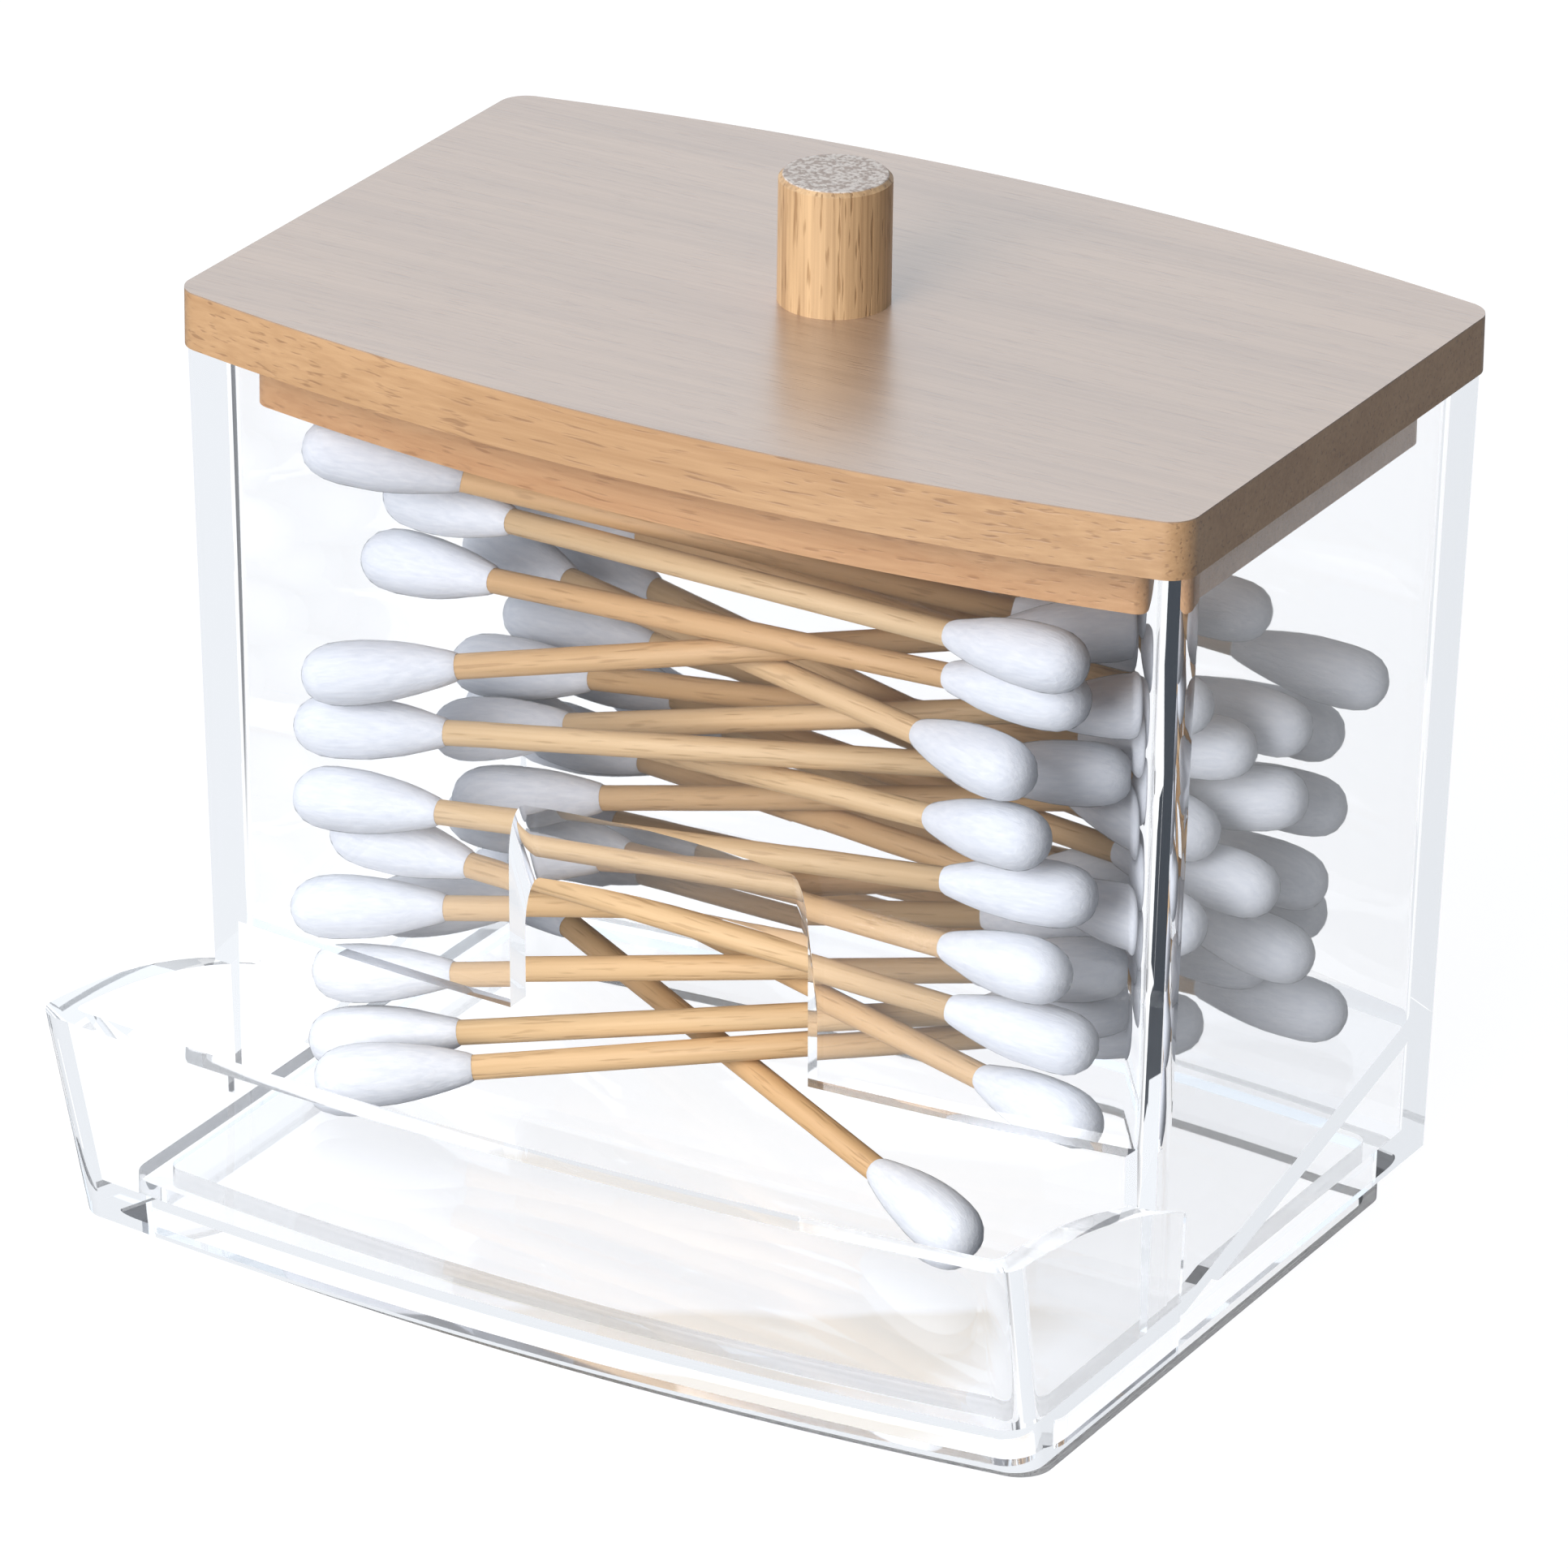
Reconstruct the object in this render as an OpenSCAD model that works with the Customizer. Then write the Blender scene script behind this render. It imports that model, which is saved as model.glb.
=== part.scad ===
// Cotton swab holder: a clear moulded container with a bowed front and back, a
// low tray that the swabs roll out into, a two-board wooden lid with a dowel
// knob, and the swabs themselves.
// Millimetres, +Z up. X = 0 is the middle of the width, Z = 0 the underside of
// the foot, and Y = 0 halfway between the tray's front and the lid's back edge.

/* [Lid] */
// How far the lid board stands over the rim at the sides and corners
lid_over = 0.7; // [0.2:0.1:3]
// How far the front and back edges of the lid bow out
lid_bow = 5.2; // [3:0.2:7]
// Thickness of the lid board
lid_t = 5; // [4:0.5:8]
// Corner radius of the lid board
lid_r = 2.6; // [1:0.2:4]
// Gap between the step board and the container's side walls
step_side_gap = 2; // [0.5:0.1:4]
// Gap between the step board and the front and back walls at the corners
step_gap = 1.9; // [0.5:0.1:4]
// How far the front and back edges of the step board bow out
step_bow = 4.4; // [3:0.1:4.6]
// Thickness of the step board
step_t = 5.4; // [4:0.2:7]

/* [Knob] */
// Diameter of the dowel knob
knob_d = 9.4; // [6:0.2:16]
// Height of the knob above the lid
knob_h = 11; // [6:0.5:20]
// Depth of the blind hole the knob is glued into
knob_seat = 3; // [1:0.5:4]

/* [Container] */
// Width of the container at its rim
body_w = 92.6; // [92:0.1:96]
// Depth of the container's rim at the corners
body_d = 51.4; // [51:0.2:56]
// How far the front and back walls bow out
body_bow = 3; // [2:0.2:4]
// Height of the rim above the table
rim_z = 74.3; // [70:0.5:80]
// Wall thickness of the moulding
wall = 2.4; // [2:0.1:2.6]
// Inward slope of every wall towards the base, in degrees
draft = 1.3; // [0.5:0.1:1.6]
// Inside corner radius at the rim, the outside corners are sharp
body_r_in = 2.6; // [2.2:0.2:5]

/* [Foot] */
// Height of the inset foot
foot_h = 3.5; // [2:0.5:5]
// How far the foot stands in from the rim's width, each side
foot_side = 3.3; // [2.4:0.1:6]
// How far the foot's front corners stand in from the middle of the tray's rim
foot_front_in = 13.4; // [10:0.1:18]
// How far the foot's back corners stand in from the rim's back corners
foot_back_in = 4.5; // [2.5:0.1:8]

/* [Tray] */
// Height of the tray floor above the table
floor_z = 7.2; // [6.4:0.2:9]
// Height of the tray's front rim above the table
tray_z = 23.8; // [20:0.2:26]
// How far the middle of the tray's rim reaches out from the container's front corners
tray_reach = 27.6; // [22:0.1:34]
// How far the front wall leans out over its height
tray_lean = 5.1; // [2:0.1:8]
// How much narrower the tray is than the container's rim, each side
tray_side = 0.4; // [0:0.1:0.6]
// Corner radius of the tray
tray_r = 2.7; // [2:0.1:4]
// Radius of the arc that the side rims follow down to the body
rim_arc = 82; // [70:1:110]

/* [Opening] */
// Height of the slot's upper edge above the table
slot_z = 22.6; // [18:0.2:28]
// Width of the finger notch above the slot
notch_w = 28.4; // [20:0.2:40]
// Height of the notch's outer upper edge above the table
notch_z = 42.2; // [36:0.2:48]
// Lean of the notch's upper face from the vertical, in degrees
notch_lean = 19; // [10:1:60]
// Corner radius of the notch
notch_r = 1.6; // [0.6:0.2:4]

/* [Ramp] */
// Slope of the ramp inside, in degrees
ramp_slope = 14; // [8:1:18]
// Where the ramp starts, measured back from the container's front corners
ramp_in = 10.7; // [8:0.1:16]
// Thickness of the ramp
ramp_t = 2.2; // [1.6:0.1:2.4]
// Radius that carries the ramp up into the back wall
ramp_r = 6; // [4:0.5:7]

/* [Swabs] */
// Length of a swab
swab_len = 74; // [70:0.5:75]
// Diameter of the wooden stick
stick_d = 2.2; // [1.8:0.1:2.6]
// Diameter of the cotton tip
tip_d = 5.5; // [4.5:0.1:5.5]
// Length of the cotton tip
tip_len = 13.5; // [11:0.5:16]
// Number that picks another arrangement of the swabs behind the front ones
pile_seed = 22; // [1:1:99]

/* [Hidden] */
$fn = 96;
eps = 0.5;                                  // how far cutters run past a face
lap = 0.01;                                 // how far corner rounds stand over the walls they join
k = tan(draft);
lid_w = body_w + 2 * lid_over;
lid_d = body_d + 2 * lid_over;
tray_front = body_d / 2 + tray_reach;
tray_w = body_w - 2 * tray_side;
tray_hold = 5.3;                            // where the tray's sides end, behind the front corners
tray_back = tray_hold - body_d / 2;
y_shift = (tray_front - lid_d / 2 - lid_bow) / 2;
foot_w = body_w - 2 * foot_side;
foot_front = tray_front - foot_front_in;
foot_back = body_d / 2 - foot_back_in;
foot_mid = (foot_back - foot_front) / 2;
foot_half_d = (foot_back + foot_front) / 2;
floor_under = floor_z - wall;
step_w = body_w - 2 * wall - 2 * step_side_gap;
step_d = body_d - 2 * wall - 2 * step_gap;
step_r = 2;
foot_r = 3;
foot_r_in = 1.5;
tray_r_in = 1;
lean = tray_lean / (tray_z - foot_h);       // front wall, mm out per mm of height
side_lean = 0.03;                           // the same for the side walls
rim_arc_out = 1;                            // centre of the rim arc, in front of the rim
rim_arc_y = -tray_front - rim_arc_out;
slot_half_w = body_w / 2 - wall - k * (rim_z - floor_z);
notch_y = -(body_d / 2 + body_bow - k * (rim_z - notch_z));
notch_reach = 12;                           // how far the notch cutter stands off the wall
big = body_d;                               // length of cutters that run clear
ramp_start = ramp_in - body_d / 2;
ramp_end_z = 21.6;                          // height where the ramp has turned upright
ramp_end_y = body_d / 2 + body_bow - wall - k * (rim_z - ramp_end_z);
ramp_c = [ramp_end_y - ramp_r, ramp_z(ramp_end_y - ramp_r) + ramp_r / cos(ramp_slope)];
knob_edge = 0.4;                            // chamfer round the knob's top
tip_taper = 4.5;                            // length of the cone where cotton meets stick
tip_neck_d = 3.2;                           // cotton diameter where it starts on the stick
tip_cover = 3;                              // cotton past the end of the stick
ramp_clear = 0.1;                           // tip above the ramp or floor it lies on
end_wall = 2.9;                             // least room from a swab's end to the side wall
end_front = 1.35;                           // gap from a tip to the front wall's corner line
deep = body_d / 2 - wall - tip_d / 2 - end_front; // how far from the middle an end may lie
round_mid = (swab_len - tip_d) / 2;         // middle of a tip's round end, from the swab's middle
cotton_start = swab_len / 2 - tip_len;      // where the cotton starts, from the swab's middle
top_clear = 0.4;                            // room between the top tips and the step board
room_y = 0.18 * body_d;                     // the room over the pile starts this far in front of the middle
room_h = 6.4;                               // its height, up to the step board
rest_gap = 0.5;                             // room left between a swab and what it rests on
layer_count = 7;                            // groups in which the swabs fell in
drops = 66;                                 // swabs let down; what would stand over the rim is left out
lanes = [[-0.8, -0.3, 0.3, 0.8], [-0.6, 0, 0.6, 1]]; // where a swab may fall, front to back
lane_turn = 0.45;                           // most that its left end lies behind the lane
front_first = 3;                            // the first swabs lie at the front
front_each = 3;                             // then every third one does

// Swabs next to the front wall, in the order they fell in: how deep the left
// and right ends lie, from -1 at the front to 1 at the back, and how far each
// swab sits off centre as a share of the room.
front_swabs = [[0.4, -1.15, -0.75], [-1.25, 0.2, -0.2], [-0.95, -0.1, -0.8], [0.2, -1, 0.4],
    [-0.9, 0, -1], [-0.8, -0.9, -0.3], [0, -1, -0.2], [-1, -0.8, -0.6], [0.2, -1, -0.4],
    [-0.9, -0.3, -0.9], [0.3, -1, -0.6], [-1, -0.1, -0.6], [-0.4, -1, -0.3], [-0.8, -0.9, -0.4],
    [-0.3, -0.9, 0], [-0.9, 0.3, -0.8], [0.2, -0.9, 0.3], [-0.8, -0.7, -0.5]];

// Radius of an edge that bows out by bow over a half width of half_w.
function bow_radius(half_w, bow) = (half_w * half_w + bow * bow) / (2 * bow);

// Place of a corner circle that touches the side and the bowed edge.
function corner_y(half_w, half_d, bow, r) =
    let (big_r = bow_radius(half_w, bow))
    half_d + bow - big_r + sqrt(pow(big_r - r, 2) - pow(half_w - r, 2));

// Outline of the ground between the four corner circles and past the bowed edges.
function bow_window(half_w, half_d, bow, r) =
    let (big_r = bow_radius(half_w, bow), cx = half_w - r,
        cy = corner_y(half_w, half_d, bow, r),
        out = 2 * (r + bow) / (big_r - r),
        ux = out * cx, uy = out * (cy - half_d - bow + big_r))
    [[-cx, -cy], [-cx - ux, -cy - uy], [cx + ux, -cy - uy], [cx, -cy],
        [cx, cy], [cx + ux, cy + uy], [-cx - ux, cy + uy], [-cx, cy]];

// Flat outline with straight sides, bowed front and back and round corners.
module bowed_outline(half_w, half_d, bow, r) {
    big_r = bow_radius(half_w, bow);
    cy = corner_y(half_w, half_d, bow, r);
    intersection() {
        translate([0, half_d + bow - big_r]) circle(big_r - lap, $fn = 360);
        translate([0, big_r - half_d - bow]) circle(big_r - lap, $fn = 360);
        polygon(bow_window(half_w, half_d, bow, r));
    }
    square([2 * (half_w - lap), 2 * cy], center = true);
    for (sx = [-1, 1], sy = [-1, 1]) translate([sx * (half_w - r), sy * cy])
        rotate(atan2(-sy, -sx)) circle(r);
}

// Body block with sharp corners from z0 to z1 that narrows downwards; the
// sizes are those at the rim.
module sharp_block(half_w, half_d, bow, z0, z1) {
    big_r = bow_radius(half_w, bow);
    in0 = k * (rim_z - z0);
    in1 = k * (rim_z - z1);
    intersection() {
        translate([0, half_d + bow - big_r, z0])
            cylinder(h = z1 - z0, r1 = big_r - in0, r2 = big_r - in1, $fn = 360);
        translate([0, big_r - half_d - bow, z0])
            cylinder(h = z1 - z0, r1 = big_r - in0, r2 = big_r - in1, $fn = 360);
        rotate([90, 0, 0]) linear_extrude(3 * big, center = true)
            polygon([[in0 - half_w, z0], [half_w - in0, z0], [half_w - in1, z1],
                [in1 - half_w, z1]]);
    }
}

// The bowed outline with round corners as a block that narrows in the same way.
module drafted_block(half_w, half_d, bow, r, z0, z1) {
    big_r = bow_radius(half_w, bow);
    cy = corner_y(half_w, half_d, bow, r);
    in0 = k * (rim_z - z0);
    in1 = k * (rim_z - z1);
    flat0 = half_w - in0 - lap;
    flat1 = half_w - in1 - lap;
    translate([0, 0, z0]) intersection() {
        translate([0, half_d + bow - big_r, 0])
            cylinder(h = z1 - z0, r1 = big_r - in0 - lap, r2 = big_r - in1 - lap, $fn = 360);
        translate([0, big_r - half_d - bow, 0])
            cylinder(h = z1 - z0, r1 = big_r - in0 - lap, r2 = big_r - in1 - lap, $fn = 360);
        linear_extrude(z1 - z0) polygon(bow_window(half_w, half_d, bow, r));
    }
    rotate([90, 0, 0]) linear_extrude(2 * cy, center = true)
        polygon([[-flat0, z0], [flat0, z0], [flat1, z1], [-flat1, z1]]);
    for (sx = [-1, 1], sy = [-1, 1]) translate([sx * (half_w - r), sy * cy, z0])
        cylinder(h = z1 - z0, r1 = r - in0, r2 = r - in1);
}

// Extrudes a side profile, drawn as (y, z), across the whole width.
module across() {
    rotate([90, 0, 90]) linear_extrude(3 * big, center = true) children();
}

// Tray block, set in from the outside by inset, from z_low up to the rim arc.
module tray_block(inset, r, z_low) {
    front_in = inset * sqrt(1 + lean * lean);
    big_r = bow_radius(tray_w / 2, body_bow);
    arc_y = big_r - tray_front;
    z_top = tray_z + eps;
    half_w = function(z) tray_w / 2 - inset - side_lean * (tray_z - z);
    arc_r = function(z) big_r - front_in - lean * (tray_z - z);
    cx = function(z) half_w(z) - r;
    cy = function(z) arc_y - sqrt(pow(arc_r(z), 2) - pow(cx(z), 2)) + r * sqrt(1 + lean * lean);
    z_a = z_low - eps;
    z_b = z_top + eps;
    run = [cx(z_b) - cx(z_a), cy(z_b) - cy(z_a), z_b - z_a];
    intersection() {
        union() {
            intersection() {
                translate([0, arc_y, z_a])
                    cylinder(h = z_b - z_a, r1 = arc_r(z_a), r2 = arc_r(z_b), $fn = 360);
                rotate([90, 0, 0]) linear_extrude(3 * big, center = true)
                    polygon([[-cx(z_a), z_a], [cx(z_a), z_a], [cx(z_b), z_b], [-cx(z_b), z_b]]);
            }
            intersection() {
                across() polygon([[cy(z_a), z_a], [big, z_a], [big, z_b], [cy(z_b), z_b]]);
                rotate([90, 0, 0]) linear_extrude(3 * big, center = true)
                    polygon([[-half_w(z_a), z_a], [half_w(z_a), z_a],
                        [half_w(z_b), z_b], [-half_w(z_b), z_b]]);
            }
            for (s = [0, 1]) mirror([s, 0, 0])
                translate([cx(z_a), cy(z_a), z_a])
                    rotate([0, acos(run[2] / norm(run)), atan2(run[1], run[0])])
                        cylinder(h = norm(run), r = r);
        }
        across() intersection() {
            translate([-big - tray_front, z_low])
                square([tray_back + big + tray_front, z_top - z_low + eps]);
            translate([rim_arc_y, tray_z - rim_arc]) circle(rim_arc, $fn = 360);
        }
    }
}

function ramp_z(y) = floor_z + max(0, y - ramp_start) * tan(ramp_slope);

// Side profile of the room over the ramp.
module over_ramp() {
    foot = [ramp_c[0] + ramp_r * sin(ramp_slope), ramp_c[1] - ramp_r * cos(ramp_slope)];
    polygon([[-big, floor_z], [ramp_start, floor_z], foot, ramp_c, [ramp_c[0], rim_z + eps],
        [-big, rim_z + eps]]);
    translate(ramp_c) circle(ramp_r);
    translate(ramp_c) square([big, rim_z + eps - ramp_c[1]]);
}

// Side profile of the hollow under the ramp and the tray floor.
module under_ramp() {
    r = ramp_r + ramp_t;
    foot = [ramp_c[0] + r * sin(ramp_slope), ramp_c[1] - r * cos(ramp_slope)];
    start = foot[0] - (foot[1] - floor_under) / tan(ramp_slope);
    difference() {
        polygon([[-2 * big, -eps], [-2 * big, floor_under], [start, floor_under], foot, ramp_c,
            [ramp_c[0] + r, ramp_c[1]], [ramp_c[0] + r, -eps]]);
        translate(ramp_c) circle(r);
    }
}

module container() {
    half_w = body_w / 2;
    half_d = body_d / 2;
    color([0.93, 0.95, 0.98, 0.35]) translate([0, y_shift, 0]) difference() {
        union() {
            sharp_block(half_w, half_d, body_bow, foot_h, rim_z);
            difference() {
                tray_block(0, tray_r, foot_h);
                tray_block(wall, tray_r_in, floor_z);
            }
            translate([0, foot_mid, 0]) linear_extrude(floor_under)
                bowed_outline(foot_w / 2, foot_half_d, body_bow, foot_r);
        }
        intersection() {
            drafted_block(half_w - wall, half_d - wall, body_bow, body_r_in, foot_h, rim_z + eps);
            across() over_ramp();
        }
        translate([-slot_half_w, -half_d - body_bow - wall, floor_z])
            cube([2 * slot_half_w, 4 * wall + body_bow, slot_z - floor_z]);
        translate([0, notch_y, notch_z]) rotate([notch_lean, 0, 0])
            translate([0, 0, slot_z - notch_z - eps]) linear_extrude(notch_z - slot_z + 2 * wall)
                notch_outline();
        intersection() {
            union() {
                translate([0, foot_mid, -eps]) linear_extrude(foot_h + wall + eps)
                    bowed_outline(foot_w / 2 - wall, foot_half_d - wall, body_bow, foot_r_in);
                drafted_block(half_w - wall, half_d - wall, body_bow, body_r_in,
                    foot_h + wall, rim_z / 2);
            }
            across() under_ramp();
        }
    }
}

// Outline of the finger notch, hanging down from its upper edge.
module notch_outline() {
    half = notch_w / 2;
    translate([-half, -notch_reach]) square([notch_w, notch_reach - notch_r]);
    translate([-half + notch_r, -notch_reach]) square([notch_w - 2 * notch_r, notch_reach]);
    for (s = [-1, 1]) translate([s * (half - notch_r), -notch_r]) circle(notch_r);
}

module lid_board() {
    color([0.8, 0.76, 0.7]) translate([0, y_shift, rim_z]) difference() {
        linear_extrude(lid_t) bowed_outline(lid_w / 2, lid_d / 2, lid_bow, lid_r);
        translate([0, 0, lid_t - knob_seat]) cylinder(h = knob_seat + eps, d = knob_d);
    }
}

module lid_step() {
    color([0.72, 0.5, 0.3]) translate([0, y_shift, rim_z - step_t])
        linear_extrude(step_t) bowed_outline(step_w / 2, step_d / 2, step_bow, step_r);
}

module lid_knob() {
    color([0.78, 0.6, 0.38]) translate([0, y_shift, rim_z + lid_t - knob_seat]) {
        cylinder(h = knob_seat + knob_h - knob_edge, d = knob_d);
        translate([0, 0, knob_seat + knob_h - knob_edge])
            cylinder(h = knob_edge, d1 = knob_d, d2 = knob_d - 2 * knob_edge);
    }
}

// A swab lies as [middle from above, direction from above, height of the
// middle, rise per mm]; places along it are counted from the middle.
function height(swab, place) = swab[2] + place * swab[3];
function kept_on(place) = max(-round_mid, min(round_mid, place));
function radius(place) =
    abs(place) < cotton_start ? stick_d / 2 :
    min(tip_d, tip_neck_d + (abs(place) - cotton_start) / tip_taper * (tip_d - tip_neck_d)) / 2;

// What place t of swab b asks of place s of a swab over it, seen gap apart
// from above: [s, least height there].
function asked(b, s, t, gap) =
    let (reach = radius(s) + radius(t) + rest_gap)
    gap < reach ? [[s, height(b, t) + sqrt(reach * reach - gap * gap)]] : [];

// Places along a swab, and along its tips, where it is held off its neighbours.
feelers = [for (share = [0.4, 0.72, 0.79, 0.86, 0.93, 1], side = [-1, 1]) side * share * round_mid];
tip_feelers = [for (share = [0.79, 0.86, 0.93, 1], side = [-1, 1]) side * share * round_mid];

// All that swab b asks of a swab with this middle and direction: where the two
// cross, at the feelers, and beside the tips of b.
function asked_by(b, mid, way) =
    let (off = b[0] - mid, turn = cross(way, b[1]),
        s = turn == 0 ? 0 : cross(off, b[1]) / turn,
        t = turn == 0 ? 0 : cross(off, way) / turn)
    [if (turn != 0 && abs(s) < round_mid && abs(t) < round_mid) each asked(b, s, t, 0),
        for (s = feelers) let (t = kept_on((s * way - off) * b[1]))
            each asked(b, s, t, norm(s * way - off - t * b[1])),
        for (t = tip_feelers) let (s = kept_on((off + t * b[1]) * way))
            each asked(b, s, t, norm(off + t * b[1] - s * way))];

// What the ramp or floor asks at place s.
function floor_asked(s, mid, way) =
    [s, ramp_z(mid[1] + s * way[1]) + radius(s) / cos(ramp_slope) + ramp_clear];

// A swab let down on the pile until it lies on both sides of its middle; left
// and right give how deep its ends lie and side how far it sits off centre.
function let_down(pile, left, right, side) =
    let (yaw = asin(deep * (right - left) / 2 / round_mid),
        way = [cos(yaw), sin(yaw)],
        room = body_w / 2 - wall - end_wall - swab_len / 2 * cos(yaw),
        mid = [side * max(0, room), deep * (left + right) / 2],
        asks = [for (s = feelers) floor_asked(s, mid, way),
            for (b = pile) each asked_by(b, mid, way)],
        left_asks = [for (a = asks) if (a[0] <= 0) a],
        right_asks = [for (a = asks) if (a[0] > 0) a],
        z = max([for (l = left_asks, r = right_asks)
            (l[1] * r[0] - r[1] * l[0]) / (r[0] - l[0])]))
    [mid, way, z, max([for (r = right_asks) (r[1] - z) / r[0]])];

// The lowest of some swabs.
function lowest(swabs) =
    let (z = [for (swab = swabs) swab[2]])
    swabs[search(min(z), z)[0]];

// Numbers from -1 to 1, the same ones each time for the same pile.
luck = rands(-1, 1, 2 * drops, pile_seed);

// Swab number i let down: in the front by hand, elsewhere in the lowest lane.
function drop(pile, i) =
    let (front = i < front_first ? i : i % front_each == 0 ? front_first - 1 + i / front_each :
            len(front_swabs),
        by_hand = front_swabs[front], turn = lane_turn * luck[2 * i])
    front < len(front_swabs) ? let_down(pile, by_hand[0], by_hand[1], by_hand[2]) :
    lowest([for (lane = lanes[i % 2])
        let_down(pile, max(-1, min(1, lane + turn)), max(-1, min(1, lane - turn)),
            luck[2 * i + 1])]);

// Whether a swab stays under the lid and out of the room over the pile.
function fits(swab) =
    let (tops = [for (share = [-1 : 0.1 : 1])
        let (place = share * round_mid, y = swab[0][1] + place * swab[1][1])
        height(swab, place) + radius(place) - (y + radius(place) < -room_y ? 0 : -room_h)])
    max(tops) < rim_z - step_t - top_clear;

// The pile, swab by swab, without those that don't fit.
function heap(pile = [], i = 0) =
    i == drops ? pile :
    let (swab = drop(pile, i))
    heap(fits(swab) ? concat(pile, [swab]) : pile, i + 1);

pile = heap();

// Puts its child, drawn along Z from the left end, on the line of a swab.
module on_line(swab) {
    translate([swab[0][0], swab[0][1] + y_shift, swab[2]])
        rotate([0, 90 - atan(swab[3]), atan2(swab[1][1], swab[1][0])])
            translate([0, 0, -swab_len / 2]) children();
}

module stick() {
    translate([0, 0, tip_cover]) cylinder(h = swab_len - 2 * tip_cover, d = stick_d, $fn = 24);
}

// Cotton tip at the left end of a swab.
module tip() {
    difference() {
        union() {
            translate([0, 0, tip_d / 2]) sphere(d = tip_d, $fn = 32);
            translate([0, 0, tip_d / 2])
                cylinder(h = tip_len - tip_taper - tip_d / 2, d = tip_d, $fn = 32);
            translate([0, 0, tip_len - tip_taper])
                cylinder(h = tip_taper, d1 = tip_d, d2 = tip_neck_d, $fn = 32);
        }
        translate([0, 0, tip_cover]) cylinder(h = tip_len, d = stick_d, $fn = 24);
    }
}

module right_tip() {
    translate([0, 0, swab_len]) mirror([0, 0, 1]) tip();
}

// One of the groups in which the swabs fell in, counted from 1.
module layer(j) {
    first = floor(len(pile) * (j - 1) / layer_count);
    next = floor(len(pile) * j / layer_count);
    for (i = [first : next - 1]) on_line(pile[i]) children();
}

wood = [0.86, 0.72, 0.52];
cotton = [0.95, 0.95, 0.96];

module sticks(j) { color(wood) layer(j) stick(); }
module left_tips(j) { color(cotton) layer(j) tip(); }
module right_tips(j) { color(cotton) layer(j) right_tip(); }

module swab_sticks_layer_1() { sticks(1); }
module swab_sticks_layer_2() { sticks(2); }
module swab_sticks_layer_3() { sticks(3); }
module swab_sticks_layer_4() { sticks(4); }
module swab_sticks_layer_5() { sticks(5); }
module swab_sticks_layer_6() { sticks(6); }
module swab_sticks_layer_7() { sticks(7); }
module swab_left_tips_layer_1() { left_tips(1); }
module swab_left_tips_layer_2() { left_tips(2); }
module swab_left_tips_layer_3() { left_tips(3); }
module swab_left_tips_layer_4() { left_tips(4); }
module swab_left_tips_layer_5() { left_tips(5); }
module swab_left_tips_layer_6() { left_tips(6); }
module swab_left_tips_layer_7() { left_tips(7); }
module swab_right_tips_layer_1() { right_tips(1); }
module swab_right_tips_layer_2() { right_tips(2); }
module swab_right_tips_layer_3() { right_tips(3); }
module swab_right_tips_layer_4() { right_tips(4); }
module swab_right_tips_layer_5() { right_tips(5); }
module swab_right_tips_layer_6() { right_tips(6); }
module swab_right_tips_layer_7() { right_tips(7); }

container();
lid_board();
lid_step();
lid_knob();
swab_sticks_layer_1();
swab_left_tips_layer_1();
swab_right_tips_layer_1();
swab_sticks_layer_2();
swab_left_tips_layer_2();
swab_right_tips_layer_2();
swab_sticks_layer_3();
swab_left_tips_layer_3();
swab_right_tips_layer_3();
swab_sticks_layer_4();
swab_left_tips_layer_4();
swab_right_tips_layer_4();
swab_sticks_layer_5();
swab_left_tips_layer_5();
swab_right_tips_layer_5();
swab_sticks_layer_6();
swab_left_tips_layer_6();
swab_right_tips_layer_6();
swab_sticks_layer_7();
swab_left_tips_layer_7();
swab_right_tips_layer_7();
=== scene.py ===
# Cotton swab holder: clear moulded container with a low tray, wooden lid with a
# dowel knob, and a pile of wooden swabs with wound cotton tips.
import math
import random

import bmesh
import bpy
from mathutils import Matrix, Vector, noise


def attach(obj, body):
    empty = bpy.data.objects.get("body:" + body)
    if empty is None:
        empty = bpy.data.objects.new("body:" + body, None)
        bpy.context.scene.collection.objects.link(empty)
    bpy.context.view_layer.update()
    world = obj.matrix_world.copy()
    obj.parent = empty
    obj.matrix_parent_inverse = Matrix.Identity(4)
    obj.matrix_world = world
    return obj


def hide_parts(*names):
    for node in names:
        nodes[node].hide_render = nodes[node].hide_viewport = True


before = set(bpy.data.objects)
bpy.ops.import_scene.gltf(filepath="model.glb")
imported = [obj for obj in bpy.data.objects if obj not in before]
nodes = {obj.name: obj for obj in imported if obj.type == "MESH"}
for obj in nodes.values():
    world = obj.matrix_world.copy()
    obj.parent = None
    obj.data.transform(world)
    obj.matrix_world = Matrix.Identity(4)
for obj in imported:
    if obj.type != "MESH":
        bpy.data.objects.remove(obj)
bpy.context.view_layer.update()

MM = 0.001
scene = bpy.context.scene
luck = random.Random(5)


# Camera, solved from the straight edges of the holder. Angles in degrees, lengths in mm.

AZIMUTH, ELEVATION, ROLL = 30.0, 24.4, 0.74
AIM = Vector((44.99, -74.23, 79.3))
DISTANCE = 792.95
LENS, SENSOR = 247.25, 36.0


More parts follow.
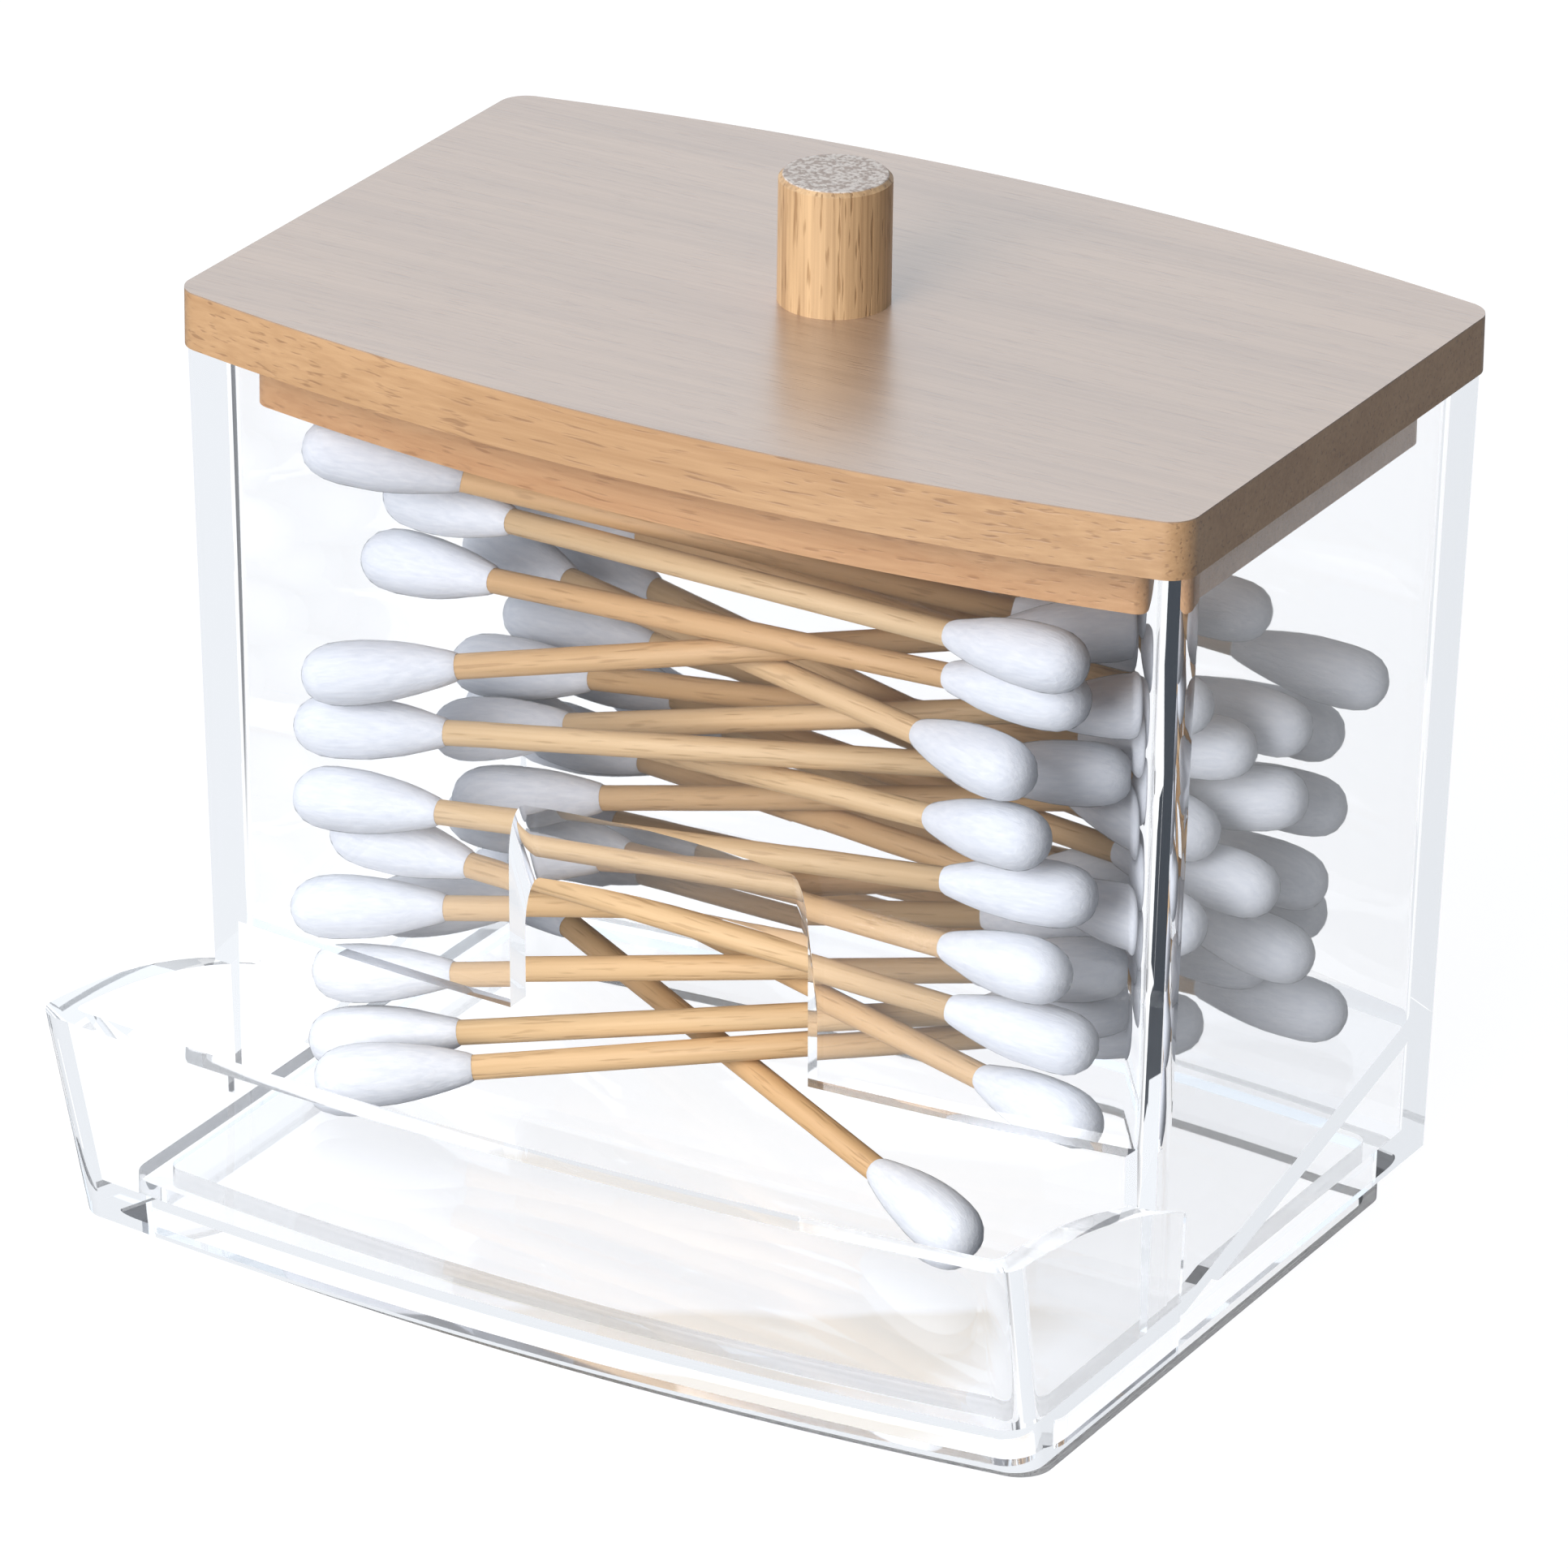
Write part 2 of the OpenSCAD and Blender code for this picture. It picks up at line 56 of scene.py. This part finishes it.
def add_camera():
    azimuth, elevation, roll = (math.radians(angle) for angle in (AZIMUTH, ELEVATION, ROLL))
    back = Vector((math.sin(azimuth) * math.cos(elevation),
                   -math.cos(azimuth) * math.cos(elevation), math.sin(elevation)))
    right = Vector((math.cos(azimuth), math.sin(azimuth), 0.0))
    up = back.cross(right)
    right, up = (right * math.cos(roll) + up * math.sin(roll),
                 up * math.cos(roll) - right * math.sin(roll))
    camera = bpy.data.objects.new("camera", bpy.data.cameras.new("camera"))
    camera.data.lens = LENS
    camera.data.sensor_width = SENSOR
    camera.data.clip_start, camera.data.clip_end = 0.05, 20.0
    place = (AIM + back * DISTANCE) * MM
    camera.matrix_world = Matrix((
        (right.x, up.x, back.x, place.x), (right.y, up.y, back.y, place.y),
        (right.z, up.z, back.z, place.z), (0, 0, 0, 1)))
    scene.collection.objects.link(camera)
    scene.camera = camera


add_camera()


# Node helpers

class Tree:
    """A few short words for building a node tree."""

    def __init__(self, tree):
        self.tree = tree

    def node(self, kind, **settings):
        made = self.tree.nodes.new("ShaderNode" + kind)
        for name, value in settings.items():
            setattr(made, name, value)
        return made

    def link(self, source, target):
        self.tree.links.new(source, target)

    def put(self, value, socket):
        if hasattr(value, "is_output"):
            self.link(value, socket)
        else:
            socket.default_value = value

    def math(self, operation, a, b=0.0, clamp=False):
        made = self.node("Math", operation=operation, use_clamp=clamp)
        self.put(a, made.inputs[0])
        self.put(b, made.inputs[1])
        return made.outputs[0]

    def mapped(self, vector, scale=(1, 1, 1), location=(0, 0, 0), rotation=(0, 0, 0)):
        made = self.node("Mapping")
        self.put(vector, made.inputs["Vector"])
        made.inputs["Scale"].default_value = scale
        made.inputs["Location"].default_value = location
        made.inputs["Rotation"].default_value = rotation
        return made.outputs[0]

    def noise(self, vector, scale=1.0, detail=2.0, roughness=0.5, distortion=0.0):
        made = self.node("TexNoise")
        self.put(vector, made.inputs["Vector"])
        made.inputs["Scale"].default_value = scale
        made.inputs["Detail"].default_value = detail
        made.inputs["Roughness"].default_value = roughness
        made.inputs["Distortion"].default_value = distortion
        return made.outputs["Fac"]

    def ramp(self, value, low, high, out_low=0.0, out_high=1.0):
        made = self.node("MapRange", clamp=True)
        self.put(value, made.inputs["Value"])
        made.inputs["From Min"].default_value = low
        made.inputs["From Max"].default_value = high
        made.inputs["To Min"].default_value = out_low
        made.inputs["To Max"].default_value = out_high
        return made.outputs["Result"]

    def mix(self, share, a, b, blend="MIX"):
        made = self.node("Mix", data_type="RGBA", blend_type=blend)
        self.put(share, made.inputs[0])
        self.put(a, made.inputs[6])
        self.put(b, made.inputs[7])
        return made.outputs[2]

    def bump(self, height, strength, distance):
        made = self.node("Bump")
        made.inputs["Strength"].default_value = strength
        made.inputs["Distance"].default_value = distance
        self.put(height, made.inputs["Height"])
        return made.outputs["Normal"]


def new_material(name):
    material = bpy.data.materials.new(name)
    material.use_nodes = True
    tree = material.node_tree
    return material, Tree(tree), tree.nodes["Principled BSDF"], tree.nodes["Material Output"]


def new_group(name, inputs, outputs):
    group = bpy.data.node_groups.new(name, "ShaderNodeTree")
    for label, kind, value in inputs:
        socket = group.interface.new_socket(label, in_out="INPUT", socket_type=kind)
        if value is not None:
            socket.default_value = value
    for label, kind in outputs:
        group.interface.new_socket(label, in_out="OUTPUT", socket_type=kind)
    given, out = group.nodes.new("NodeGroupInput"), group.nodes.new("NodeGroupOutput")
    return group, Tree(group), given.outputs, out.inputs


def rgb(r, g, b):
    return (r, g, b, 1.0)


# Straight-grained wood: pale and dark tones in long thin streaks along the
# first axis of the vector, with a few short dark pores.
def make_grain_group():
    group, t, given, out = new_group(
        "straight grain",
        [("Vector", "NodeSocketVector", None),
         ("Pale", "NodeSocketColor", rgb(0.7, 0.5, 0.3)),
         ("Dark", "NodeSocketColor", rgb(0.4, 0.25, 0.12)),
         ("Streaks", "NodeSocketFloat", 0.6),
         ("Pores", "NodeSocketFloat", 0.5)],
        [("Color", "NodeSocketColor"), ("Height", "NodeSocketFloat")])
    wide = t.noise(t.mapped(given["Vector"], (12, 260, 260)), 1.0, 3.0, 0.55)
    fine = t.noise(t.mapped(given["Vector"], (45, 2100, 2100)), 1.0, 2.0, 0.6)
    pores = t.noise(t.mapped(given["Vector"], (260, 3000, 3000), (3.1, 1.7, 5.2)), 1.0, 1.0, 0.5)
    pore = t.ramp(pores, 0.60, 0.72)
    streak = t.math("ADD", t.math("MULTIPLY", wide, 0.55), t.math("MULTIPLY", fine, 0.45))
    share = t.math("MULTIPLY", t.ramp(streak, 0.36, 0.66), given["Streaks"], clamp=True)
    colour = t.mix(share, given["Pale"], given["Dark"])
    dark = t.mix(1.0, colour, rgb(0.62, 0.55, 0.48), "MULTIPLY")
    colour = t.mix(t.math("MULTIPLY", pore, given["Pores"]), colour, dark)
    t.link(colour, out["Color"])
    height = t.math("SUBTRACT", t.math("MULTIPLY", fine, 0.5), t.math("MULTIPLY", pore, 0.8))
    t.link(height, out["Height"])
    return group


grain = make_grain_group()


def add_grain(t, vector, pale, dark, streaks, pores):
    made = t.node("Group", node_tree=grain)
    t.put(vector, made.inputs["Vector"])
    t.put(pale, made.inputs["Pale"])
    t.put(dark, made.inputs["Dark"])
    made.inputs["Streaks"].default_value = streaks
    made.inputs["Pores"].default_value = pores
    return made.outputs["Color"], made.outputs["Height"]


# Materials

# The front part of the right-hand wall, where the light the walls carry is replaced by
# # painted dark shade: to the right of, in front of and above these places, in metres.
PAINTED_DARK_X, PAINTED_DARK_Y, PAINTED_DARK_Z = 0.040, 0.015, 0.022
# Reflections inside the walls after which the light they carry is replaced by a painted glow, pale
# or dark.
CARRIED_AFTER = 2.5


def top_of(node):
    """Height of the highest point of a CAD node, in metres."""
    return max(v.co.z for v in nodes[node].data.vertices)


def clear_plastic():
    """Clear moulding. Light that the walls carry along inside them for long is
    replaced by a painted glow: painted dark shade in the right-hand wall's front
    half, a pale painted glow elsewhere."""
    material, t, shader, output = new_material("clear plastic")
    material.cycles.emission_sampling = "NONE"
    shader.inputs["Base Color"].default_value = rgb(0.985, 0.99, 1.0)
    shader.inputs["Roughness"].default_value = 0.02
    shader.inputs["IOR"].default_value = 1.5
    shader.inputs["Transmission Weight"].default_value = 1.0
    path = t.node("LightPath")
    through = t.node("BsdfTransparent")
    through.inputs["Color"].default_value = rgb(0.94, 0.95, 0.97)
    blend = t.node("MixShader")
    t.link(t.math("MAXIMUM", path.outputs["Is Shadow Ray"], path.outputs["Is Diffuse Ray"]),
           blend.inputs[0])
    t.link(shader.outputs[0], blend.inputs[1])
    t.link(through.outputs[0], blend.inputs[2])
    place = t.node("SeparateXYZ")
    t.link(t.node("TexCoord").outputs["Object"], place.inputs[0])
    # Mask of the painted dark shade: the right-hand wall's front half.
    right = t.math("GREATER_THAN", place.outputs["X"], PAINTED_DARK_X)
    front = t.math("LESS_THAN", place.outputs["Y"], PAINTED_DARK_Y)
    high = t.math("GREATER_THAN", place.outputs["Z"], PAINTED_DARK_Z)
    dark = t.math("MULTIPLY", right, t.math("MULTIPLY", front, high))
    # Painted glow in place of the light the walls carry: pale, or painted dark shade inside the
    # mask.
    painted_glow = t.node("Emission")
    t.link(t.mix(dark, rgb(0.90, 0.93, 0.97), rgb(0.055, 0.065, 0.08)), painted_glow.inputs["Color"])
    ended = t.node("MixShader")
    t.link(t.math("GREATER_THAN", path.outputs["Glossy Depth"], CARRIED_AFTER), ended.inputs[0])
    t.link(blend.outputs[0], ended.inputs[1])
    t.link(painted_glow.outputs[0], ended.inputs[2])
    t.link(ended.outputs[0], output.inputs["Surface"])
    return material


def lid_wood():
    """Bamboo board: a paler, lacquered top face and warm edges."""
    material, t, shader, _ = new_material("bamboo lid board")
    place = t.node("TexCoord").outputs["Object"]
    split = t.node("SeparateXYZ")
    t.link(place, split.inputs[0])
    face = top_of("lid_board")
    top = t.ramp(split.outputs["Z"], face - 0.15 * MM, face - 0.05 * MM)
    cover, height = add_grain(t, place, rgb(0.49, 0.32, 0.21), rgb(0.35, 0.22, 0.14), 0.8, 0.4)
    edge, _ = add_grain(t, place, rgb(0.66, 0.38, 0.175), rgb(0.47, 0.24, 0.09), 0.9, 0.8)
    t.link(t.mix(top, edge, cover), shader.inputs["Base Color"])
    t.link(t.bump(height, 0.35, 0.0001), shader.inputs["Normal"])
    shader.inputs["Roughness"].default_value = 0.45
    shader.inputs["Coat Weight"].default_value = 1.0
    shader.inputs["Coat IOR"].default_value = 2.3
    shader.inputs["Coat Roughness"].default_value = 0.27
    return material


def step_wood():
    material, t, shader, _ = new_material("brown step board")
    place = t.node("TexCoord").outputs["Object"]
    colour, height = add_grain(t, place, rgb(0.74, 0.42, 0.205), rgb(0.56, 0.275, 0.115), 0.9, 0.6)
    t.link(colour, shader.inputs["Base Color"])
    t.link(t.bump(height, 0.3, 0.0001), shader.inputs["Normal"])
    shader.inputs["Roughness"].default_value = 0.5
    return material


def knob_wood():
    """Dowel: upright grain round the side, speckled end grain on top."""
    material, t, shader, _ = new_material("dowel knob")
    place = t.node("TexCoord").outputs["Object"]
    split = t.node("SeparateXYZ")
    t.link(place, split.inputs[0])
    turned = t.mapped(place, (1, 1, 1), (0, 0, 0), (0, math.pi / 2, 0))
    side, height = add_grain(t, turned, rgb(0.72, 0.47, 0.25), rgb(0.38, 0.22, 0.11), 1.0, 0.9)
    specks = t.ramp(t.noise(place, 2400.0, 1.0), 0.42, 0.62)
    end = t.mix(specks, rgb(0.74, 0.66, 0.60), rgb(0.42, 0.33, 0.28))
    face = top_of("lid_knob")
    top = t.ramp(split.outputs["Z"], face - 0.1 * MM, face - 0.02 * MM)
    t.link(t.mix(top, side, end), shader.inputs["Base Color"])
    t.link(t.bump(height, 0.5, 0.0001), shader.inputs["Normal"])
    shader.inputs["Roughness"].default_value = 0.5
    return material


def stick_wood():
    material, t, shader, _ = new_material("birch stick")
    own = t.node("Attribute", attribute_name="own_place").outputs["Vector"]
    tone = t.node("Attribute", attribute_name="tone").outputs["Fac"]
    along = t.mapped(own, (1, 1, 1), (0, 0, 0), (0, math.pi / 2, 0))
    pale = t.mix(tone, rgb(0.82, 0.58, 0.33), rgb(0.74, 0.45, 0.22))
    colour, height = add_grain(t, along, pale, rgb(0.52, 0.30, 0.12), 0.5, 0.5)
    t.link(colour, shader.inputs["Base Color"])
    t.link(t.bump(height, 0.4, 0.0001), shader.inputs["Normal"])
    shader.inputs["Roughness"].default_value = 0.6
    return material


def cotton():
    """Wound cotton: fibres round the tip, and an outline that frays a little."""
    material, t, shader, output = new_material("wound cotton")
    material.use_transparent_shadow = False
    own = t.node("Attribute", attribute_name="own_place").outputs["Vector"]
    fibre = t.noise(t.mapped(own, (2600, 2600, 520)), 1.0, 3.0, 0.6, 0.4)
    puff = t.noise(own, 420.0, 2.0)
    colour = t.mix(t.ramp(fibre, 0.3, 0.7), rgb(0.80, 0.81, 0.85), rgb(0.91, 0.91, 0.93))
    t.link(colour, shader.inputs["Base Color"])
    height = t.math("ADD", t.math("MULTIPLY", fibre, 0.6), puff)
    t.link(t.bump(height, 0.35, 0.0003), shader.inputs["Normal"])
    shader.inputs["Roughness"].default_value = 0.95
    shader.inputs["Specular IOR Level"].default_value = 0.1
    shader.inputs["Sheen Weight"].default_value = 0.35
    shader.inputs["Sheen Roughness"].default_value = 0.5
    facing = t.node("LayerWeight")
    facing.inputs["Blend"].default_value = 0.5
    rim = t.ramp(facing.outputs["Facing"], 0.80, 1.0)
    hairs = t.noise(t.mapped(own, (3600, 3600, 3600)), 1.0, 2.0, 0.6)
    thin = t.math("MULTIPLY", rim, t.ramp(hairs, 0.35, 0.65, 0.45, 1.0))
    clear = t.node("BsdfTransparent")
    frayed = t.node("MixShader")
    t.link(thin, frayed.inputs[0])
    t.link(shader.outputs[0], frayed.inputs[1])
    t.link(clear.outputs[0], frayed.inputs[2])
    t.link(frayed.outputs[0], output.inputs["Surface"])
    return material


def dress(node, material):
    mesh = nodes[node].data
    mesh.materials.clear()
    mesh.materials.append(material)


dress("container", clear_plastic())
dress("lid_board", lid_wood())
dress("lid_step", step_wood())
dress("lid_knob", knob_wood())
cotton_white = cotton()
birch = stick_wood()


# Swabs

def solids_of(node):
    """Each separate solid of a CAD node, as a list of its points."""
    bm = bmesh.new()
    bm.from_mesh(nodes[node].data)
    bmesh.ops.remove_doubles(bm, verts=bm.verts, dist=1e-6)
    seen, found = set(), []
    for start in bm.verts:
        if start in seen:
            continue
        seen.add(start)
        group, edge = [start], [start]
        while edge:
            for link in edge.pop().link_edges:
                for v in link.verts:
                    if v not in seen:
                        seen.add(v)
                        group.append(v)
                        edge.append(v)
        found.append([v.co.copy() for v in group])
    bm.free()
    return found


def stick_line(points):
    """Centres of the two ends of a stick, left end first."""
    middle = sum(points, Vector()) / len(points)
    left = [p for p in points if p.x < middle.x]
    right = [p for p in points if p.x > middle.x]
    return sum(left, Vector()) / len(left), sum(right, Vector()) / len(right)


def placing(start, toward):
    """Matrix that puts a shape drawn along +Z from its origin on a line."""
    z = (toward - start).normalized()
    turn = z.to_track_quat("Z", "X")
    return Matrix.Translation(start) @ turn.to_matrix().to_4x4()


LAYERS = 7
STICK_RADIUS = 1.1 * MM
STICK_SIDES = 14
# How far the cotton reaches past each end of the stick, in mm.
TIP_COVER = 3.0
TIP_SIDES = 18
TIP_SHAPES = 8
# Cotton profile from the rounded end to the neck: distance along and radius, in mm.
TIP_PROFILE = [(0.0, 0.0), (0.15, 0.9), (0.6, 1.7), (1.3, 2.25), (2.3, 2.6), (3.6, 2.75),
               (5.2, 2.75), (6.8, 2.65), (8.3, 2.45), (9.8, 2.18), (11.2, 1.86), (12.4, 1.55),
               (13.2, 1.32), (13.6, 1.12)]


def tip_shape(seed):
    """One cotton tip, lying along +Z from its rounded end, in metres."""
    bm = bmesh.new()
    ring = [bm.verts.new((r * MM, 0, s * MM)) for s, r in TIP_PROFILE]
    edges = [bm.edges.new(pair) for pair in zip(ring, ring[1:])]
    bmesh.ops.spin(bm, geom=ring + edges, cent=(0, 0, 0), axis=(0, 0, 1),
                   angle=2 * math.pi, steps=TIP_SIDES, use_merge=True)
    bmesh.ops.remove_doubles(bm, verts=bm.verts, dist=1e-5)
    shift = Vector((seed * 7.3, seed * 3.1, 0))
    for v in bm.verts:
        out = Vector((v.co.x, v.co.y, 0))
        if out.length > 1e-5:
            lump = noise.noise(v.co * 330 + shift) * 0.13 + noise.noise(v.co * 900 + shift) * 0.05
            v.co += out.normalized() * min(lump, 0.0) * MM
    bmesh.ops.recalc_face_normals(bm, faces=bm.faces)
    mesh = bpy.data.meshes.new("tip shape")
    bm.to_mesh(mesh)
    bm.free()
    return mesh


def stick_shape(length):
    """One stick, lying along +Z from its end."""
    bm = bmesh.new()
    bmesh.ops.create_cone(bm, cap_ends=True, segments=STICK_SIDES, radius1=STICK_RADIUS,
                          radius2=STICK_RADIUS, depth=length)
    bmesh.ops.translate(bm, verts=bm.verts, vec=(0, 0, length / 2))
    mesh = bpy.data.meshes.new("stick shape")
    bm.to_mesh(mesh)
    bm.free()
    return mesh


def gather(name, shapes, places, material, replaced):
    """One piece made of a shape at each place, with its own coordinates kept
    in an attribute so that the pattern follows each swab."""
    bm = bmesh.new()
    own = bm.verts.layers.float_vector.new("own_place")
    tone = bm.verts.layers.float.new("tone")
    for shape, place in zip(shapes, places):
        first = len(bm.verts)
        bm.from_mesh(shape)
        bm.verts.ensure_lookup_table()
        offset = Vector((luck.uniform(0, 1), luck.uniform(0, 1), luck.uniform(0, 1)))
        shade = luck.random()
        for v in bm.verts[first:]:
            v[own] = v.co + offset
            v[tone] = shade
            v.co = place @ v.co
    mesh = bpy.data.meshes.new(name)
    bm.to_mesh(mesh)
    bm.free()
    for face in mesh.polygons:
        face.use_smooth = True
    mesh.materials.append(material)
    piece = bpy.data.objects.new(name, mesh)
    scene.collection.objects.link(piece)
    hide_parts(replaced)
    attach(piece, "container")
    return piece


tip_shapes = [tip_shape(seed) for seed in range(TIP_SHAPES)]


def lay_swabs(sticks, left_tips, right_tips):
    """The swabs of one layer: the cotton starts TIP_COVER past the stick's ends."""
    lines = [stick_line(points) for points in solids_of(sticks)]
    wood, left, right = [], [], []
    for a, b in lines:
        ahead = (b - a).normalized() * TIP_COVER * MM
        wood.append(placing(a, b))
        left.append(placing(a - ahead, b))
        right.append(placing(b + ahead, a))
    gather("wood_" + sticks, [stick_shape((b - a).length) for a, b in lines], wood,
           birch, sticks)
    for node, places in ((left_tips, left), (right_tips, right)):
        shapes = [tip_shapes[luck.randrange(len(tip_shapes))] for _ in places]
        gather("cotton_" + node, shapes, places, cotton_white, node)


for layer in range(1, LAYERS + 1):
    lay_swabs("swab_sticks_layer_%d" % layer, "swab_left_tips_layer_%d" % layer,
              "swab_right_tips_layer_%d" % layer)


# Surroundings

TABLE_REACH = 4.0


def add_floor():
    """White table. The plastic sees it white behind and under the object; in front, to the
    right and to the front left it sees painted shade, which draws the dark lines along its edges."""
    bm = bmesh.new()
    bmesh.ops.create_grid(bm, x_segments=1, y_segments=1, size=TABLE_REACH)
    mesh = bpy.data.meshes.new("table top")
    bm.to_mesh(mesh)
    bm.free()
    floor = bpy.data.objects.new("table_top", mesh)
    scene.collection.objects.link(floor)
    material, t, shader, output = new_material("white table")
    material.cycles.emission_sampling = "NONE"
    shader.inputs["Base Color"].default_value = rgb(0.22, 0.22, 0.225)
    shader.inputs["Roughness"].default_value = 0.8
    spot = t.node("TexCoord").outputs["Object"]
    place = t.node("SeparateXYZ")
    t.link(spot, place.inputs[0])
    # Painted shade, seen only through the plastic: the table is dark there in front, to the right
    # and to the front left, and bright elsewhere.
    front = t.ramp(place.outputs["Y"], -0.11, -0.06)
    beside = t.math("MULTIPLY", t.ramp(place.outputs["X"], 0.055, 0.075),
                    t.ramp(place.outputs["Y"], 0.03, -0.01))
    left = t.math("MULTIPLY", t.ramp(place.outputs["X"], -0.09, -0.12),
                  t.ramp(place.outputs["Y"], -0.01, -0.04))
    clear_of_painted_shade = t.math("MULTIPLY", front, t.math("SUBTRACT", 1.0, t.math("MAXIMUM", beside, left)))
    path = t.node("LightPath")
    through = t.math("MULTIPLY", clear_of_painted_shade, path.outputs["Is Transmission Ray"])
    seen = t.math("ADD", t.math("MULTIPLY", path.outputs["Is Camera Ray"], 0.86),
                  t.math("MULTIPLY", through, 0.98))
    # A painted cream reflection on the table, seen only through the tray's floor: a slanted band
    #     # whose long edges are Y = slope * X plus a distance, with soft and slightly wavy
    #     borders.
    wave = t.math("MULTIPLY", t.noise(t.mapped(spot, (90, 40, 0)), 1.0, 1.0), 0.006)
    wavy = t.math("ADD", place.outputs["Y"], wave)
    back_edge = t.ramp(t.math("SUBTRACT", wavy, t.math("MULTIPLY", place.outputs["X"], 0.6)),
                       -0.018, -0.020)
    front_edge = t.ramp(t.math("SUBTRACT", wavy, t.math("MULTIPLY", place.outputs["X"], 0.45)),
                        -0.035, -0.031)
    ends = t.math("MULTIPLY", t.ramp(place.outputs["X"], -0.018, -0.010),
                  t.ramp(place.outputs["X"], 0.033, 0.027))
    painted_reflection_band = t.math("MULTIPLY", ends, t.math("MULTIPLY", back_edge, front_edge))
    warm = t.math("MULTIPLY", painted_reflection_band, path.outputs["Is Transmission Ray"])
    glow = t.node("Emission")
    t.link(t.mix(warm, rgb(1, 1, 1), rgb(0.84, 0.79, 0.71)), glow.inputs["Color"])
    t.link(seen, glow.inputs["Strength"])
    both = t.node("AddShader")
    t.link(shader.outputs[0], both.inputs[0])
    t.link(glow.outputs[0], both.inputs[1])
    t.link(both.outputs[0], output.inputs["Surface"])
    mesh.materials.append(material)


def add_world():
    """White to the camera; soft light from the front left for matt surfaces; a
    bluish bright sky behind and dark cards at the right for shiny ones."""
    world = bpy.data.worlds.new("studio")
    scene.world = world
    world.use_nodes = True
    t = Tree(world.node_tree)
    background = world.node_tree.nodes["Background"]
    direction = t.node("TexCoord").outputs["Generated"]
    path = t.node("LightPath")

    def facing(x, y, z, low, high, out_low, out_high):
        dot = t.node("VectorMath", operation="DOT_PRODUCT")
        t.link(direction, dot.inputs[0])
        dot.inputs[1].default_value = Vector((x, y, z)).normalized()
        return t.ramp(dot.outputs["Value"], low, high, out_low, out_high)

    soft = facing(-0.45, -0.50, 0.74, 0.05, 0.95, 0.0, 0.95)
    sky = facing(0.80, -0.60, 0.0, 0.0, 0.6, 1.0, 0.10)
    white = rgb(1, 1, 1)
    colour = t.mix(path.outputs["Is Glossy Ray"], white, rgb(1.10, 1.20, 1.30))
    colour = t.mix(sky, rgb(0.0, 0.0, 0.0), colour)
    matt = t.mix(soft, rgb(0.0, 0.0, 0.0), rgb(0.93, 1.0, 1.08))
    colour = t.mix(path.outputs["Is Diffuse Ray"], colour, matt)
    colour = t.mix(path.outputs["Is Camera Ray"], colour, white)
    t.link(colour, background.inputs["Color"])


def add_lamp(name, place, aim, size, power):
    lamp = bpy.data.lights.new(name, "AREA")
    lamp.shape = "DISK"
    lamp.size = size
    lamp.energy = power
    made = bpy.data.objects.new(name, lamp)
    made.location = place
    made.rotation_euler = (Vector(place) - Vector(aim)).to_track_quat("Z", "Y").to_euler()
    scene.collection.objects.link(made)


add_floor()
add_world()
add_lamp("window_lamp", (-0.10, -1.25, 0.50), (0, 0, 0.04), 0.9, 17.0)

scene.view_settings.view_transform = "Standard"
scene.cycles.max_bounces = 10
scene.cycles.diffuse_bounces = 2
scene.cycles.glossy_bounces = 6
scene.cycles.transmission_bounces = 10
scene.cycles.transparent_max_bounces = 8
